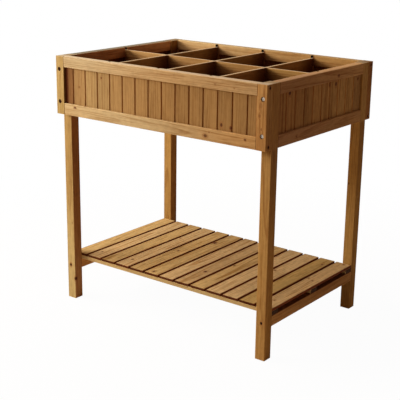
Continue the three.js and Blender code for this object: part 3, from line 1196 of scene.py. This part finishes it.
@dataclass
class CornerBolts:
    """The zinc bolts, two at each corner, with a six-sided socket in each head."""

    head: float = 0.0056
    high: float = 0.0014
    shoulder: float = 0.0006
    crown: Outline = ((2.6, 0.0), (1.2, 0.35), (0.3, 1.0), (0.0, 2.0))
    hexagon: float = 0.0025
    socket_share: float = 0.9

    def dress(self) -> None:
        """Dresses the eight bolts and gives each its crowned, socketed cap."""
        bright, shaded_zinc = ZINC.material(), SHADED_ZINC.material()
        crown = (
            (self.head - self.shoulder * inward, self.high - self.shoulder * down)
            for inward, down in self.crown
        )
        profile = (*crown, (self.head, 0.0))
        hexagon = circle(self.hexagon, 6)
        mesh = TurnedHead(profile, hexagon, self.high * self.socket_share, 1.0).mesh("bolt_cap")
        for corner in CORNERS:
            # The front-left bolts wear the zinc painted dark: painted shade
            material = shaded_zinc if (corner.end, corner.side) == ("front", "left") else bright
            outward = Vector((0.0, corner.y_way, 0.0))
            for level in ("upper", "lower"):
                name = corner.node("bolt", level)
                wear(name, material)
                low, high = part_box(name)
                seat = middle(name)
                seat.y = high.y if corner.y_way > 0 else low.y
                place_head(f"{name}_cap", mesh, material, seat, outward)


@dataclass
class DarkScrews:
    """Blackened cross-slot screws, sunk in the stile ends and in the feet of the legs."""

    head: float = 0.0034
    crown_share: float = 0.9
    crown: float = 0.0002
    rim: float = 0.0005
    cone: float = 0.0016
    shank: float = 0.0014
    sunk: float = 0.0010
    pocket: float = 0.003
    arm: float = 0.0020
    arm_wide: float = 0.0006
    socket_deep: float = 0.0012
    socket_taper: float = 0.62

    def dress(self) -> None:
        """Makes the screws and sets them in their pockets."""
        top = self.pocket - self.sunk
        profile = (
            (self.head * self.crown_share, top),
            (self.head, top - self.crown),
            (self.head, top - self.rim),
            (self.shank, top - self.cone),
            (self.shank, 0.0),
        )
        screw = TurnedHead(profile, self._cross(), self.socket_deep, self.socket_taper)
        mesh = screw.mesh("dark_screw")
        material = BLACKENED.material()
        for corner in CORNERS:
            entries = {**corner.stile_screws(), "leg": corner.leg_screw()}
            for level, at in entries.items():
                along_y = level == "leg"
                outward = Vector((0.0, corner.y_way, 0.0) if along_y else (corner.x_way, 0.0, 0.0))
                seat = at - outward * self.pocket
                place_head(corner.node("screw", level), mesh, material, seat, outward)

    def _cross(self) -> Outline:
        """The outline of the cross slot: three points turned to each of four ways.

        Returns:
            The twelve points.
        """
        long, wide = self.arm, self.arm_wide
        points = [(long, -wide), (long, wide), (wide, wide)]
        outline = []
        for _ in range(4):
            outline += points
            points = [(-y, x) for x, y in points]
        return tuple(outline)


@dataclass(frozen=True)
class Lamp:
    """One soft rectangular lamp."""

    name: str
    at: Point
    size: tuple[float, float]
    power: float
    colour: Colour

    def hang(self, target: Point) -> None:
        """Hangs the lamp so that it faces a point.

        Args:
            target: The point.
        """
        data = bpy.data.lights.new(self.name, "AREA")
        data.shape = "RECTANGLE"
        data.size, data.size_y = self.size
        data.energy = self.power
        data.color = self.colour
        lamp = bpy.data.objects.new(self.name, data)
        lamp.location = self.at
        aim = Vector(target) - Vector(self.at)
        lamp.rotation_euler = aim.to_track_quat("-Z", "Y").to_euler()
        bpy.context.scene.collection.objects.link(lamp)


@dataclass
class Studio:
    """Camera, lamps, world and floor."""

    camera_at: Point = (1.786, -2.404, 1.241)
    azimuth: float = 36.336
    elevation: float = 16.393
    roll: float = 1.083
    lens: float = 86.85
    shift: tuple[float, float] = (-0.0415, -0.0062)
    target: Point = (0.0, 0.0, 0.62)
    lamps: tuple[Lamp, ...] = (
        Lamp("key", (-2.42, -1.40, 1.52), (2.2, 0.7), 126.0, (1.0, 0.985, 0.95)),
        Lamp("overhead", (-0.5, -0.4, 2.9), (1.6, 1.6), 26.0, (1.0, 0.97, 0.93)),
    )
    fill: Colour = (1.0, 0.67, 0.51)
    fill_strength: float = 0.155
    floor_colour: Colour = (0.76, 0.66, 0.56)
    floor_reach: float = 9.0
    floor_sides: int = 96
    veil: float = 0.97
    fade: tuple[float, float] = (0.6, 1.8)

    def build(self) -> None:
        """Builds the whole studio."""
        self._camera()
        for lamp in self.lamps:
            lamp.hang(self.target)
        self._world()
        self._floor()

    def _camera(self) -> None:
        """Sets the camera where the photograph was taken from."""
        data = bpy.data.cameras.new("camera")
        data.lens = self.lens
        data.shift_x, data.shift_y = self.shift
        camera = bpy.data.objects.new("camera", data)
        turns = ((self.azimuth, "Z"), (90.0 - self.elevation, "X"), (self.roll, "Z"))
        turn, tilt, roll = (Matrix.Rotation(math.radians(by), 4, axis) for by, axis in turns)
        camera.matrix_world = Matrix.Translation(self.camera_at) @ turn @ tilt @ roll
        bpy.context.scene.collection.objects.link(camera)
        bpy.context.scene.camera = camera

    def _seen(self, bench: Bench) -> Wire:
        """Marks the rays that show the background, to the eye or in metal and glass.

        Args:
            bench: Where the nodes go.

        Returns:
            1 for such a ray, 0 for the light that falls on the planter.
        """
        path = bench.node("ShaderNodeLightPath")
        rays = path + path.twin("Is Glossy Ray") + path.twin("Is Transmission Ray")
        return bench.maths("MINIMUM", rays, 1.0)

    def _world(self) -> None:
        """Makes the world white to the eye and a dim warm fill for the planter."""
        world = bpy.data.worlds.new("studio")
        bench = Bench(world)
        dim, white = (
            bench.node("ShaderNodeBackground", inputs={"Color": colour, "Strength": strength})
            for colour, strength in ((self.fill, self.fill_strength), (CLEAR, 1.0))
        )
        mixed = bench.node("ShaderNodeMixShader", inputs={0: self._seen(bench), 1: dim, 2: white})
        bench.node("ShaderNodeOutputWorld", inputs={"Surface": mixed})
        bpy.context.scene.world = world

    def _floor(self) -> None:
        """Lays a pale round floor that fades into the white and keeps a faint shadow."""
        mesh = bpy.data.meshes.new("floor")
        shape = bmesh.new()
        bmesh.ops.create_circle(shape, cap_ends=True, radius=self.floor_reach, segments=self.floor_sides)
        shape.to_mesh(mesh)
        shape.free()
        floor = bpy.data.objects.new("floor", mesh)
        bpy.context.scene.collection.objects.link(floor)
        material = bpy.data.materials.new("pale_floor")
        bench = Bench(material)
        x, y, _ = bench.place()
        away = bench.smooth(bench.maths("SQRT", x * x + y * y), *self.fade)
        lit = bench.node("ShaderNodeBsdfDiffuse", inputs={"Color": self.floor_colour})
        glow = bench.node("ShaderNodeEmission", inputs={"Color": CLEAR, "Strength": 1.0})
        veil = self._seen(bench) * (away * (1.0 - self.veil) + self.veil)
        mixed = bench.node("ShaderNodeMixShader", inputs={0: veil, 1: lit, 2: glow})
        bench.node("ShaderNodeOutputMaterial", inputs={"Surface": mixed})
        mesh.materials.append(material)


def main() -> None:
    """Builds the studio and every sub-assembly in order."""
    logging.basicConfig(level=logging.INFO, format="%(name)s: %(message)s")
    bpy.context.scene.view_settings.view_transform = "Standard"
    Studio().build()
    timber = (Legs(), LongPanels(), EndPanels(), Dividers(), Shelf())
    fastenings = (CornerBolts(), DarkScrews())
    for assembly in timber + fastenings:
        assembly.dress()


if __name__ == "__main__":
    main()
